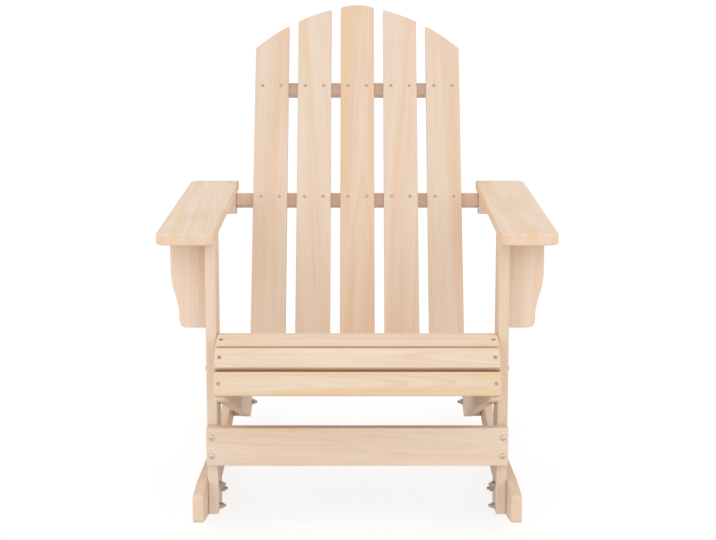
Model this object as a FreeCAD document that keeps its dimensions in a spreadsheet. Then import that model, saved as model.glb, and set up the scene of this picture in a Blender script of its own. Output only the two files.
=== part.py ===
import FreeCAD, Part
import Sketcher
import math
import os
import re

# Rocking adirondack chair in bare softwood: boards screwed and bolted together, in millimetres.
# X is across the chair, -Y is the front, +Z is up, and the rockers stand on Z = 0.

os.makedirs("parts", exist_ok=True)
doc = FreeCAD.newDocument("rockingChair")

# Driving dimensions: alias, size, what it is
drivingSizes = [
    ("boardThickness", 19, "legs, rockers, stringers, arms, brackets, stretcher and back slats"),
    ("edgeRound", 2, "radius of every eased board edge"),
    ("seatWidth", 500, "across the outer faces of the two stringers"),
    ("sideClearance", 0.5, "from a seat slat's end to the leg beside it"),
    ("rockerLength", 915, "rocker, tip to tip"),
    ("rockerRadius", 1550, "underside of the rocker"),
    ("rockerContact", -75, "Y of the rocker's lowest point"),
    ("rockerHeight", 58.5, "rocker at its middle and rear"),
    ("rockerShoulderInset", 82.5, "from the front tip to where the top edge stops rising"),
    ("rockerTipTopHeight", 96.5, "top edge at the front tip, above the floor"),
    ("rockerBlend", 800, "radius between the rocker's straight and curved top edges"),
    ("rockerTipRound", 8, "corner radius of a rocker's tip"),
    ("legDepth", 76, "front leg, front to rear"),
    ("legSetback", 88, "leg's front face behind the rocker's front tip"),
    ("legBottomHeight", 31, "leg's lower end above the floor"),
    ("armUnderHeight", 534, "armrest's underside above the floor, where the leg ends"),
    ("armWidth", 100, "armrest, across"),
    ("armOverhang", 47, "armrest's front end before the leg's front face"),
    ("armLength", 631, "armrest, front to rear"),
    ("armRound", 20, "corner radius of the armrest"),
    ("bracketTopWidth", 63.5, "arm bracket, at the arm"),
    ("bracketFootWidth", 49, "arm bracket, at its foot"),
    ("bracketHeight", 164, "arm bracket, top to bottom"),
    ("bracketStraight", 58, "upright part of the bracket's outer edge"),
    ("bracketFootStraight", 15, "from the bracket's foot to the end of its curve"),
    ("bracketRound", 12, "lower corner radius of the bracket"),
    ("cleatRearInset", 56.5, "cleat's rear end before the armrest's rear end"),
    ("cleatLength", 228, "cleat, front to rear"),
    ("cleatHeight", 42.5, "cleat at its rear end"),
    ("cleatTipHeight", 4, "cleat at its thin front end"),
    ("stretcherHeight", 70, "front stretcher"),
    ("stretcherBottomHeight", 128.5, "stretcher's lower edge above the floor"),
    ("noseOverhang", 60.7, "stringer's corner between the apron and the second slat, before the leg"),
    ("noseHeight", 312.4, "that corner above the floor"),
    ("apronTilt", 72, "first slat, degrees above level"),
    ("secondTilt", 39.5, "second slat"),
    ("thirdTilt", 14, "third slat"),
    ("seatSlope", 19.2, "fall of the seat towards the back, degrees"),
    ("apronFacet", 47, "length of the stringer's edge behind the apron"),
    ("seatSlatWidth", 41.6, "seat slat"),
    ("seatSlatThickness", 16, "seat slat"),
    ("facetLap", 0.6, "two slats' lower corners past each other where the seat bends, had they not been eased"),
    ("seatSlatGap", 2, "between two slats on the straight part"),
    ("footRearInset", 172.5, "from the rocker's rear tip to the end of the stringer's foot"),
    ("footLength", 57, "stringer's foot"),
    ("footClearance", 3, "stringer's foot above the rocker's underside"),
    ("tailRound", 14, "corner radius of the stringer's tail"),
    ("tailBoltInset", 23, "bolt through the tail, before the foot's rear end"),
    ("tailBoltHeight", 56, "that bolt above the floor"),
    ("spacerBehind", 30, "tail spacer's rear end behind its bolt"),
    ("spacerAbove", 37, "tail spacer's upper face above its bolt"),
    ("backLeanAngle", 25.9, "back, degrees from upright"),
    ("backClearance", 3, "from the last seat slat to the back"),
    ("backTuckLength", 86, "back slats below the seat's top face"),
    ("backHeight", 744.5, "top of the back above the seat, along the slats"),
    ("backSlatWidth", 70, "back slat"),
    ("backSideClearance", 17, "from an outer back slat to the stringer beside it"),
    ("archRadius", 390, "each half of the arched top"),
    ("archOffset", 49, "centre of each half, across the middle line"),
    ("railWidth", 27, "back rails, along the slats"),
    ("railThickness", 20, "back rails"),
    ("bottomRailHeight", -70, "middle of the bottom rail above the seat, along the slats"),
    ("lowerRailHeight", 318.5, "middle of the lower rail"),
    ("upperRailHeight", 561, "middle of the upper rail"),
    ("upperRailInset", 8, "upper rail's end inside the outer slat's edge"),
    ("screwRadius", 2, "wood screw's shank"),
    ("screwHeadRadius", 3.8, "wood screw's countersunk head"),
    ("screwHeadHeight", 2.2, "wood screw's countersunk head"),
    ("screwClearance", 0.15, "around a wood screw"),
    ("slatScrewLength", 34, "screws in the back slats and the seat slats"),
    ("backScrewInset", 16, "back screws from the slat's edge"),
    ("endScrewLength", 42, "screws through a side board into a rail's end"),
    ("bracketScrewLength", 50, "screws through the leg into the bracket's edge"),
    ("cleatScrewLength", 32, "screws up through the cleat into the arm"),
    ("cleatScrewRise", 18, "cleat screws' head seats below the arm"),
    ("cleatScrewSpacing", 60, "between the two cleat screws"),
    ("cleatScrewInset", 38, "rear cleat screw from the cleat's rear end"),
    ("recessRadius", 5, "recess for a cleat screw's head"),
    ("boltRadius", 3, "bolts"),
    ("boltClearance", 0.25, "around a bolt in wood, a barrel nut or a dowel"),
    ("nutClearance", 0.1, "around a bolt in its nut or washer"),
    ("boltHeadRadius", 5.25, "domed bolt head"),
    ("boltHeadHeight", 3.3, "domed bolt head"),
    ("washerRadius", 6, "washer"),
    ("washerThickness", 1.6, "washer"),
    ("nutAcross", 10, "nut across its flats"),
    ("nutHeight", 5.2, "nut"),
    ("boltProud", 5, "bolt's end beyond its nut"),
    ("stretcherBoltLength", 58, "bolts through the stretcher"),
    ("stretcherBoltInset", 18, "those bolts from the stretcher's edges"),
    ("barrelRadius", 5, "barrel nut"),
    ("barrelLength", 16, "barrel nut"),
    ("barrelFromTip", 10, "barrel nut's axis before the bolt's tip"),
    ("frontColumnInset", 20, "front bolts behind the leg's front face"),
    ("rearColumnInset", 58, "rear bolts behind the leg's front face"),
    ("rockerBoltLowHeight", 41, "lowest leg-to-rocker bolt above the floor"),
    ("rockerBoltMiddleHeight", 60, "rear leg-to-rocker bolt above the floor"),
    ("rockerBoltHighHeight", 81, "highest leg-to-rocker bolt above the floor"),
    ("seatBoltFrontHeight", 298, "front leg-to-stringer bolt above the floor"),
    ("seatBoltRearHeight", 262, "rear leg-to-stringer bolt above the floor"),
    ("bracketScrewTop", 30, "highest bracket screw below the arm"),
    ("bracketScrewSpacing", 50, "between bracket screws"),
    ("dowelRadius", 4, "arm dowel"),
    ("dowelInArm", 11, "arm dowel, in the arm"),
    ("dowelInLeg", 18, "arm dowel, in the leg"),
]

sheet = doc.addObject("Spreadsheet::Sheet", "sizes")
for row, (alias, size, note) in enumerate(drivingSizes, start=1):
    sheet.set("A%d" % row, alias)
    sheet.set("B%d" % row, str(size))
    sheet.setAlias("B%d" % row, alias)
    sheet.set("C%d" % row, note)
doc.recompute()

aliases = {alias for alias, size, note in drivingSizes}
workings = doc.addObject("Spreadsheet::Sheet", "workings")


def linked(text):
    """An expression on the sheet's sizes, as other objects write it."""
    return re.sub(r"[A-Za-z]\w*", lambda word: "sizes." + word.group() if word.group() in aliases
                  else word.group(), text)


def valueOf(text):
    """The present value of an expression on the sheet's sizes."""
    workings.set("A1", "=" + linked(text))
    workings.recompute()
    return float(workings.get("A1"))


def bind(item, prop, text):
    item.setExpression(prop, linked(text))


# Places that several pieces share, written as expressions
halfSeat = "(seatWidth / 2)"
legOuter = "(seatWidth / 2 + boardThickness)"
rockerOuter = "(seatWidth / 2 + 2 * boardThickness)"
stringerInner = "(seatWidth / 2 - boardThickness)"
legMiddle = "(seatWidth / 2 + boardThickness / 2)"
stringerMiddle = "(seatWidth / 2 - boardThickness / 2)"
legFront = "(legSetback - rockerLength / 2)"
shoulderY = "(rockerShoulderInset - rockerLength / 2)"
armFront = "(%s - armOverhang)" % legFront
armRear = "(%s + armLength)" % armFront
cleatRear = "(%s - cleatRearInset)" % armRear
noseY = "(%s - noseOverhang)" % legFront
stretcherFront = "(%s - boardThickness)" % legFront
footRear = "(rockerLength / 2 - footRearInset)"
footFront = "(%s - footLength)" % footRear
tailBoltY = "(%s - tailBoltInset)" % footRear
facetLength = "(seatSlatWidth - facetLap)"
secondY = "(%s + %s * cos(secondTilt))" % (noseY, facetLength)
secondZ = "(noseHeight + %s * sin(secondTilt))" % facetLength
crestY = "(%s + %s * cos(thirdTilt))" % (secondY, facetLength)
crestZ = "(%s + %s * sin(thirdTilt))" % (secondZ, facetLength)
straightSlats = 8
seatRun = "(%d * seatSlatWidth + %d * seatSlatGap - facetLap / 2)" % (straightSlats, straightSlats - 1)
backRun = "(%s + backClearance)" % seatRun
backRootY = "(%s + %s * cos(seatSlope) + seatSlatThickness * sin(seatSlope))" % (crestY, backRun)
backRootZ = "(%s - %s * sin(seatSlope) + seatSlatThickness * cos(seatSlope))" % (crestZ, backRun)

# A frame is where a group of boards is laid out: its origin's Y and Z, and its turn about X
chairFrame = ("0", "0", "0")
apronFrame = (noseY, "noseHeight", "apronTilt")
secondFrame = (noseY, "noseHeight", "secondTilt")
thirdFrame = (secondY, secondZ, "thirdTilt")
seatFrame = (crestY, crestZ, "-seatSlope")
backFrame = (backRootY, backRootZ, "-backLeanAngle")

# Which way a hole or a fastener points, as the turn that takes +Z there
turns = {
    "+x": ((0, 1, 0), 90),
    "-x": ((0, 1, 0), -90),
    "+y": ((1, 0, 0), -90),
    "+z": ((1, 0, 0), 0),
    "-z": ((1, 0, 0), 180),
}


def frameText(frame):
    return "placement(vector(0; %s; %s); rotation(vector(1; 0; 0); %s))" % frame


def seatText(point, way):
    axis, angle = turns[way]
    text = "placement(vector(%s; %s; %s); rotation(vector(%d; %d; %d); %d))"
    return text % (tuple(point) + axis + (angle,))


def newBody(label, frame):
    body = doc.addObject("PartDesign::Body", label)
    body.Label = label
    bind(body, "Placement", frameText(frame))
    boards[label] = (body, frame)
    return body


def ease(body, feature, edges=None):
    """Round a board's edges: all of them, or the ones named."""
    doc.recompute()
    fillet = body.newObject("PartDesign::Fillet", "eased")
    fillet.Base = (feature, edges or ["Edge1"])
    fillet.UseAllEdges = edges is None
    bind(fillet, "Radius", "edgeRound")
    doc.recompute()


def plainBoard(label, frame, low, extent):
    """A rectangular board from its lowest corner and its three sizes."""
    body = newBody(label, frame)
    box = body.newObject("PartDesign::AdditiveBox", "board")
    for prop, text in zip(("Length", "Width", "Height"), extent):
        bind(box, prop, text)
    for prop, text in zip("xyz", low):
        bind(box, "Placement.Base." + prop, text)
    ease(body, box)
    return body


def middleOfArc(start, end, radius, side):
    """A point on the arc between two points that bulges to the left (1) or right (-1) of the way."""
    chord = end - start
    rise = radius - math.sqrt(radius ** 2 - (chord.Length / 2) ** 2)
    across = FreeCAD.Vector(-chord.y, chord.x, 0).normalize()
    return (start + end) / 2 + across * rise * side


def outlineSketch(body, plane, offset, corners, arcs):
    """A closed outline through the corners; arcs gives radius and side for the stretches that bend."""
    sketch = body.newObject("Sketcher::SketchObject", "outline")
    origin = [item for item in body.Origin.OriginFeatures if item.Role == plane][0]
    sketch.AttachmentSupport = (origin, "")
    sketch.MapMode = "FlatFace"
    bind(sketch, "AttachmentOffset.Base.z", offset)
    places = [FreeCAD.Vector(valueOf(x), valueOf(y), 0) for x, y in corners]
    ends = []
    for index, start in enumerate(places):
        end = places[(index + 1) % len(places)]
        if index in arcs:
            radius, side = arcs[index]
            middle = middleOfArc(start, end, valueOf(radius), side)
            edge = sketch.addGeometry(Part.Arc(start, middle, end), False)
            forward = sketch.getPoint(edge, 1).distanceToPoint(start) < 0.01
            ends.append((1, 2) if forward else (2, 1))
            rule = sketch.addConstraint(Sketcher.Constraint("Radius", edge, valueOf(radius)))
            bind(sketch, "Constraints[%d]" % rule, radius)
        else:
            sketch.addGeometry(Part.LineSegment(start, end), False)
            ends.append((1, 2))
    for index, (x, y) in enumerate(corners):
        previous = (index - 1) % len(corners)
        first = ends[index][0]
        sketch.addConstraint(Sketcher.Constraint("Coincident", previous, ends[previous][1], index, first))
        for kind, text, value in (("DistanceX", x, places[index].x), ("DistanceY", y, places[index].y)):
            rule = sketch.addConstraint(Sketcher.Constraint(kind, -1, 1, index, first, value))
            bind(sketch, "Constraints[%d]" % rule, text)
    return sketch


def edgesAt(shape, direction, places):
    """Names of the edges along one axis that pass through the given places of the other two."""
    axis = "xyz".index(direction)
    names = []
    for number, edge in enumerate(shape.Edges, start=1):
        ends = [vertex.Point for vertex in edge.Vertexes]
        if len(ends) != 2 or abs((ends[1] - ends[0])[axis]) < 0.999 * edge.Length:
            continue
        here = [ends[0][i] for i in range(3) if i != axis]
        if any(math.dist(here, place) < 0.01 for place in places):
            names.append("Edge%d" % number)
    return names


def sharpEdges(shape):
    """Names of the edges where two faces meet at an angle."""
    names = []
    for number, edge in enumerate(shape.Edges, start=1):
        faces = shape.ancestorsOfType(edge, Part.Face)
        middle = edge.valueAt((edge.FirstParameter + edge.LastParameter) / 2)
        normals = [face.normalAt(*face.Surface.parameter(middle)) for face in faces]
        if len(normals) == 2 and abs(normals[0].dot(normals[1])) < 0.995:
            names.append("Edge%d" % number)
    return names


def shapedBoard(label, frame, plane, offset, corners, thickness, arcs=None, rounds=()):
    """A board cut to an outline; rounds lists a radius and the corners that it rounds."""
    body = newBody(label, frame)
    sketch = outlineSketch(body, plane, offset, corners, arcs or {})
    pad = body.newObject("PartDesign::Pad", "board")
    pad.Profile = sketch
    bind(pad, "Length", thickness)
    doc.recompute()
    last = pad
    direction = {"YZ_Plane": "x", "XZ_Plane": "y", "XY_Plane": "z"}[plane]
    for radius, numbers in rounds:
        places = [(valueOf(corners[n][0]), valueOf(corners[n][1])) for n in numbers]
        fillet = body.newObject("PartDesign::Fillet", "corners")
        fillet.Base = (last, edgesAt(last.Shape, direction, places))
        bind(fillet, "Radius", radius)
        doc.recompute()
        last = fillet
    ease(body, last, sharpEdges(last.Shape))
    return body


def hole(label, frame, point, way, radius, length):
    """A round hole in a board, from a point given in a frame."""
    body, home = boards[label]
    cut = body.newObject("PartDesign::SubtractiveCylinder", "hole")
    bind(cut, "Radius", radius)
    bind(cut, "Height", length)
    text = seatText(point, way)
    if frame != home:
        text = frameText(frame) + " * " + text
    bind(cut, "Placement", text)


def countersink(label, point, way):
    """The conical seat of a screw's head in a board, in the board's own frame."""
    body = boards[label][0]
    cut = body.newObject("PartDesign::SubtractiveCone", "countersink")
    bind(cut, "Radius1", "screwHeadRadius + screwClearance")
    bind(cut, "Radius2", "screwRadius + screwClearance")
    bind(cut, "Height", "screwHeadHeight")
    bind(cut, "Placement", seatText(point, way))


def place(group, frame, point, way):
    """Keep a place for one fastener of a group."""
    fasteners.setdefault(group, []).append((frame, point, way))


def screw(group, frame, point, way, through, into, length):
    """A countersunk screw through one board into another, with the holes for it."""
    countersink(through, point, way)
    for label in (through, into):
        hole(label, frame, point, way, "screwRadius + screwClearance", length + " + screwClearance")
    place(group, frame, point, way)


boards = {}
fasteners = {}
sides = (("left", -1), ("right", 1))


def slab(side, inner):
    """X where a board of one side starts, for a board whose inner face is at the given distance."""
    return inner if side > 0 else "-(%s + boardThickness)" % inner


def undersideZ(y):
    return "(rockerRadius - sqrt(rockerRadius ^ 2 - (%s - rockerContact) ^ 2))" % y


def rockerTopZ(y):
    inner = "(rockerRadius - rockerHeight)"
    return "(rockerRadius - sqrt(%s ^ 2 - (%s - rockerContact) ^ 2))" % (inner, y)


# Rockers: a round underside, a top edge that follows it from the middle back, and a raised front
def makeRocker(name, side):
    tip = "(rockerLength / 2)"
    corners = [
        ("-" + tip, undersideZ("(-%s)" % tip)),
        (tip, undersideZ(tip)),
        (tip, rockerTopZ(tip)),
        ("0", rockerTopZ("0")),
        (shoulderY, "rockerTipTopHeight"),
        ("-" + tip, "rockerTipTopHeight"),
    ]
    arcs = {0: ("rockerRadius", -1), 2: ("rockerRadius - rockerHeight", 1)}
    rounds = [("rockerBlend", [3]), ("rockerTipRound", [0, 1, 2, 5])]
    shapedBoard("rocker_" + name, chairFrame, "YZ_Plane", slab(side, legOuter), corners, "boardThickness",
                arcs, rounds)


# Stringers: facets in front for the curved nose of the seat, a straight run, and a foot by the rocker
def makeStringer(name, side):
    footZ = "(%s + footClearance)" % undersideZ(footRear)
    rise = "((%s - %s) * sin(seatSlope) + (%s - %s) * cos(seatSlope))" % (crestY, footRear, crestZ, footZ)
    corners = [
        (noseY + " - apronFacet * cos(apronTilt)", "noseHeight - apronFacet * sin(apronTilt)"),
        (footFront, "%s + footClearance" % undersideZ(footFront)),
        (footRear, footZ),
        ("%s + %s * sin(seatSlope)" % (footRear, rise), "%s + %s * cos(seatSlope)" % (footZ, rise)),
        (crestY, crestZ),
        (secondY, secondZ),
        (noseY, "noseHeight"),
    ]
    shapedBoard("stringer_" + name, chairFrame, "YZ_Plane", slab(side, stringerInner), corners,
                "boardThickness", None, [("tailRound", [2, 3])])


def makeLeg(name, side):
    plainBoard("front_leg_" + name, chairFrame, (slab(side, halfSeat), legFront, "legBottomHeight"),
               ("boardThickness", "legDepth", "armUnderHeight - legBottomHeight"))


# Tail spacers: between the rocker and the stringer, flush with the stringer's foot
def makeSpacer(name, side):
    rear = "(%s + spacerBehind)" % tailBoltY
    corners = [
        (footFront, "%s + footClearance" % undersideZ(footFront)),
        (rear, "%s + footClearance" % undersideZ(rear)),
        (rear, "tailBoltHeight + spacerAbove"),
        (footFront, "tailBoltHeight + spacerAbove"),
    ]
    shapedBoard("tail_spacer_" + name, chairFrame, "YZ_Plane", slab(side, halfSeat), corners, "boardThickness")


# Armrests: straight boards with three corners rounded; the rear inner corner is square
def makeArm(name, side):
    inner = "%d * %s" % (side, halfSeat)
    outer = "%d * (%s + armWidth)" % (side, halfSeat)
    corners = [(inner, armFront), (outer, armFront), (outer, armRear), (inner, armRear)]
    shapedBoard("armrest_" + name, chairFrame, "XY_Plane", "armUnderHeight", corners, "boardThickness",
                None, [("armRound", [0, 1, 2])])


# Arm brackets: boards facing the front, outside the legs, narrowed by an S-shaped edge
def makeBracket(name, side):
    fall = "(bracketHeight - bracketStraight - bracketFootStraight)"
    narrowing = "(bracketTopWidth - bracketFootWidth)"
    bend = "((%s ^ 2 + %s ^ 2) / (4 * %s))" % (fall, narrowing, narrowing)
    widths = ["0", "bracketTopWidth", "bracketTopWidth", "(bracketTopWidth + bracketFootWidth) / 2",
              "bracketFootWidth", "bracketFootWidth", "0"]
    drops = ["0", "0", "bracketStraight", "bracketStraight + %s / 2" % fall, "bracketStraight + " + fall,
             "bracketHeight", "bracketHeight"]
    corners = [("%d * (%s + %s)" % (side, legOuter, width), "armUnderHeight - (%s)" % drop)
               for width, drop in zip(widths, drops)]
    arcs = {2: (bend, side), 3: (bend, -side)}
    rear = "(%s + legDepth / 2 + boardThickness / 2)" % legFront
    shapedBoard("arm_bracket_" + name, chairFrame, "XZ_Plane", "-" + rear, corners, "boardThickness",
                arcs, [("bracketRound", [5])])


# Arm cleats: wedges under the arms' rear, between which the lower rail is held
def makeCleat(name, side):
    front = cleatRear + " - cleatLength"
    corners = [
        (front, "armUnderHeight - cleatTipHeight"),
        (cleatRear, "armUnderHeight - cleatHeight"),
        (cleatRear, "armUnderHeight"),
        (front, "armUnderHeight"),
    ]
    shapedBoard("arm_cleat_" + name, chairFrame, "YZ_Plane", slab(side, halfSeat), corners, "boardThickness")


for name, side in sides:
    makeRocker(name, side)
    makeStringer(name, side)
    makeLeg(name, side)
    makeSpacer(name, side)
    makeArm(name, side)
    makeBracket(name, side)
    makeCleat(name, side)

plainBoard("front_stretcher", chairFrame, ("-" + legOuter, stretcherFront, "stretcherBottomHeight"),
           ("2 * " + legOuter, "boardThickness", "stretcherHeight"))

# Seat slats: the apron, two round the nose, and the straight run to the back
seatSlats = [(apronFrame, "facetLap / 2 - seatSlatWidth"), (secondFrame, "-facetLap / 2"),
             (thirdFrame, "-facetLap / 2")]
for number in range(straightSlats):
    seatSlats.append((seatFrame, "%d * (seatSlatWidth + seatSlatGap) - facetLap / 2" % number))
halfSlat = "(seatWidth / 2 - sideClearance)"
for number, (frame, start) in enumerate(seatSlats, start=1):
    label = "seat_slat_%d" % number
    plainBoard(label, frame, ("-" + halfSlat, start, "0"),
               ("2 * " + halfSlat, "seatSlatWidth", "seatSlatThickness"))
    for name, side in sides:
        point = ("%d * %s" % (side, stringerMiddle), "%s + seatSlatWidth / 2" % start, "seatSlatThickness")
        screw("seat_screws", frame, point, "-z", label, "stringer_" + name, "slatScrewLength")


# Back slats: equal and parallel, under an arch whose two halves are arcs
def archHeight(x):
    peak = "sqrt(archRadius ^ 2 - archOffset ^ 2)"
    return "(backHeight - %s + sqrt(archRadius ^ 2 - (abs(%s) + archOffset) ^ 2))" % (peak, x)


slatCount = 5
backHalf = "(%s - backSideClearance)" % stringerInner
backPitch = "((2 * %s - backSlatWidth) / %d)" % (backHalf, slatCount - 1)
for number in range(slatCount):
    middle = "(%d * %s)" % (number - slatCount // 2, backPitch)
    low = "(%s - backSlatWidth / 2)" % middle
    high = "(%s + backSlatWidth / 2)" % middle
    corners = [
        (low, "-backTuckLength"),
        (high, "-backTuckLength"),
        (high, archHeight(high)),
        (low, archHeight(low)),
    ]
    topRadius = "archRadius"
    if number == slatCount // 2:
        crown = "(backHeight - %s)" % archHeight(high)
        topRadius = "(%s ^ 2 + (backSlatWidth / 2) ^ 2) / (2 * %s)" % (crown, crown)
    shapedBoard("back_slat_%d" % (number + 1), backFrame, "XZ_Plane", "-boardThickness", corners,
                "boardThickness", {2: (topRadius, -1)})

railEnds = {"bottom": stringerInner, "lower": halfSeat, "upper": "(%s - upperRailInset)" % backHalf}
for rail, end in railEnds.items():
    label = "back_rail_" + rail
    railMiddle = rail + "RailHeight"
    plainBoard(label, backFrame, ("-" + end, "boardThickness", railMiddle + " - railWidth / 2"),
               ("2 * " + end, "railThickness", "railWidth"))
    for number in range(slatCount):
        middle = "%d * %s" % (number - slatCount // 2, backPitch)
        for side in (-1, 1):
            x = "%s + %d * (backSlatWidth / 2 - backScrewInset)" % (middle, side)
            screw("back_screws", backFrame, (x, "0", railMiddle), "+y", "back_slat_%d" % (number + 1), label,
                  "slatScrewLength")

# Screws into the ends of the two rails that are held at their ends
for name, side in sides:
    inward = "-x" if side > 0 else "+x"
    for rail, start, holder in (("bottom", halfSeat, "stringer_"), ("lower", legOuter, "arm_cleat_")):
        point = ("%d * %s" % (side, start), "boardThickness + railThickness / 2", rail + "RailHeight")
        for label in (holder + name, "back_rail_" + rail):
            hole(label, backFrame, point, inward, "screwRadius + screwClearance",
                 "endScrewLength + screwClearance")
        hole(holder + name, backFrame, point, inward, "screwHeadRadius + screwClearance", "screwHeadHeight")
        place("rail_end_screws", backFrame, point, inward)

# Screws from the leg into the bracket's edge, and up through the cleat into the arm; the arm's dowels
for name, side in sides:
    outward = "+x" if side > 0 else "-x"
    for number in range(3):
        point = ("%d * %s" % (side, halfSeat), legFront + " + legDepth / 2",
                 "armUnderHeight - bracketScrewTop - %d * bracketScrewSpacing" % number)
        screw("bracket_screws", chairFrame, point, outward, "front_leg_" + name, "arm_bracket_" + name,
              "bracketScrewLength")
    for number in range(2):
        x = "%d * %s" % (side, legMiddle)
        y = "%s - cleatScrewInset - %d * cleatScrewSpacing" % (cleatRear, number)
        point = (x, y, "armUnderHeight - cleatScrewRise")
        screw("cleat_screws", chairFrame, point, "+z", "arm_cleat_" + name, "armrest_" + name,
              "cleatScrewLength")
        hole("arm_cleat_" + name, chairFrame, point, "-z", "recessRadius", "cleatHeight")
    for column in ("frontColumnInset", "rearColumnInset"):
        point = ("%d * %s" % (side, legMiddle), "%s + %s" % (legFront, column), "armUnderHeight - dowelInLeg")
        for label in ("front_leg_" + name, "armrest_" + name):
            hole(label, chairFrame, point, "+z", "dowelRadius + boltClearance",
                 "dowelInLeg + dowelInArm + boltClearance")
        place("arm_dowels", chairFrame, point, "+z")


# Bolts across a side: domed head outside, washer and nut inside
def crossBolt(group, name, side, y, z, outer, inner, through):
    inward = "-x" if side > 0 else "+x"
    point = ("%d * %s" % (side, outer), y, z)
    for label in through:
        hole(label + name, chairFrame, point, inward, "boltRadius + boltClearance",
             "%s - %s" % (outer, inner))
    place(group, chairFrame, point, inward)
    place("washers", chairFrame, ("%d * %s" % (side, inner), y, z), inward)
    place("nuts", chairFrame, ("%d * (%s - washerThickness)" % (side, inner), y, z), inward)


for name, side in sides:
    front = legFront + " + frontColumnInset"
    rear = legFront + " + rearColumnInset"
    for y, z in ((front, "rockerBoltLowHeight"), (rear, "rockerBoltMiddleHeight"),
                 (front, "rockerBoltHighHeight")):
        crossBolt("rocker_bolts", name, side, y, z, rockerOuter, halfSeat, ("rocker_", "front_leg_"))
    for y, z in ((front, "seatBoltFrontHeight"), (rear, "seatBoltRearHeight")):
        crossBolt("seat_bolts", name, side, y, z, legOuter, stringerInner, ("front_leg_", "stringer_"))
    crossBolt("tail_bolts", name, side, tailBoltY, "tailBoltHeight", rockerOuter, stringerInner,
              ("rocker_", "tail_spacer_", "stringer_"))

# Bolts through the stretcher into barrel nuts in the legs
for name, side in sides:
    for rise in ("stretcherBoltInset", "stretcherHeight - stretcherBoltInset"):
        z = "stretcherBottomHeight + " + rise
        point = ("%d * %s" % (side, legMiddle), stretcherFront, z)
        for label in ("front_stretcher", "front_leg_" + name):
            hole(label, chairFrame, point, "+y", "boltRadius + boltClearance",
                 "stretcherBoltLength + boltClearance")
        place("stretcher_bolts", chairFrame, point, "+y")
        outward = "+x" if side > 0 else "-x"
        nutY = "%s + stretcherBoltLength - barrelFromTip" % stretcherFront
        hole("front_leg_" + name, chairFrame, ("%d * %s" % (side, halfSeat), nutY, z), outward,
             "barrelRadius + boltClearance", "(boardThickness + barrelLength) / 2 + boltClearance")
        nutStart = "%d * (%s - barrelLength / 2)" % (side, legMiddle)
        place("barrel_nuts", chairFrame, (nutStart, nutY, z), outward)


# Fasteners, each made once along +Z and then set at every place of its group
def screwShape(length):
    head = Part.makeCone(valueOf("screwHeadRadius"), valueOf("screwRadius"), valueOf("screwHeadHeight"))
    shank = Part.makeCylinder(valueOf("screwRadius"), valueOf(length))
    return head.fuse(shank).removeSplitter()


def boltShape(length):
    height = valueOf("boltHeadHeight")
    head = Part.makeCylinder(valueOf("boltHeadRadius"), height, FreeCAD.Vector(0, 0, -height))
    rim = [edge for edge in head.Edges
           if abs(edge.CenterOfMass.z + height) < 0.01 and len(edge.Vertexes) == 1]
    head = head.makeFillet(0.9 * height, rim)
    shank = Part.makeCylinder(valueOf("boltRadius"), valueOf(length))
    return head.fuse(shank).removeSplitter()


def ringShape(outer, thickness):
    body = Part.makeCylinder(valueOf(outer), valueOf(thickness))
    return body.cut(Part.makeCylinder(valueOf("boltRadius + nutClearance"), valueOf(thickness)))


def nutShape():
    corner = valueOf("nutAcross") / math.sqrt(3)
    points = [FreeCAD.Vector(corner * math.cos(turn), corner * math.sin(turn), 0)
              for turn in (math.radians(60 * step) for step in range(7))]
    body = Part.Face(Part.makePolygon(points)).extrude(FreeCAD.Vector(0, 0, valueOf("nutHeight")))
    return body.cut(Part.makeCylinder(valueOf("boltRadius + nutClearance"), valueOf("nutHeight")))


def barrelShape():
    length = valueOf("barrelLength")
    radius = valueOf("barrelRadius")
    bore = Part.makeCylinder(valueOf("boltRadius + nutClearance"), 4 * radius,
                             FreeCAD.Vector(0, -2 * radius, length / 2), FreeCAD.Vector(0, 1, 0))
    return Part.makeCylinder(radius, length).cut(bore)


def dowelShape():
    return Part.makeCylinder(valueOf("dowelRadius"), valueOf("dowelInLeg + dowelInArm"))


boltEnd = "washerThickness + nutHeight + boltProud"
shapes = {
    "seat_screws": screwShape("slatScrewLength"),
    "back_screws": screwShape("slatScrewLength"),
    "rail_end_screws": screwShape("endScrewLength"),
    "bracket_screws": screwShape("bracketScrewLength"),
    "cleat_screws": screwShape("cleatScrewLength"),
    "arm_dowels": dowelShape(),
    "rocker_bolts": boltShape("2 * boardThickness + " + boltEnd),
    "seat_bolts": boltShape("2 * boardThickness + " + boltEnd),
    "tail_bolts": boltShape("3 * boardThickness + " + boltEnd),
    "washers": ringShape("washerRadius", "washerThickness"),
    "nuts": nutShape(),
    "stretcher_bolts": boltShape("stretcherBoltLength"),
    "barrel_nuts": barrelShape(),
}


def placement(frame, point, way):
    axis, angle = turns[way]
    y, z, tilt = (valueOf(text) for text in frame)
    home = FreeCAD.Placement(FreeCAD.Vector(0, y, z), FreeCAD.Rotation(FreeCAD.Vector(1, 0, 0), tilt))
    spot = FreeCAD.Vector(*(valueOf(text) for text in point))
    return home.multiply(FreeCAD.Placement(spot, FreeCAD.Rotation(FreeCAD.Vector(*axis), angle)))


for group, places in fasteners.items():
    copies = []
    for frame, point, way in places:
        copy = shapes[group].copy()
        copy.Placement = placement(frame, point, way)
        copies.append(copy)
    feature = doc.addObject("Part::Feature", group)
    feature.Label = group
    feature.Shape = Part.makeCompound(copies)
doc.removeObject("workings")
doc.recompute()

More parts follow.
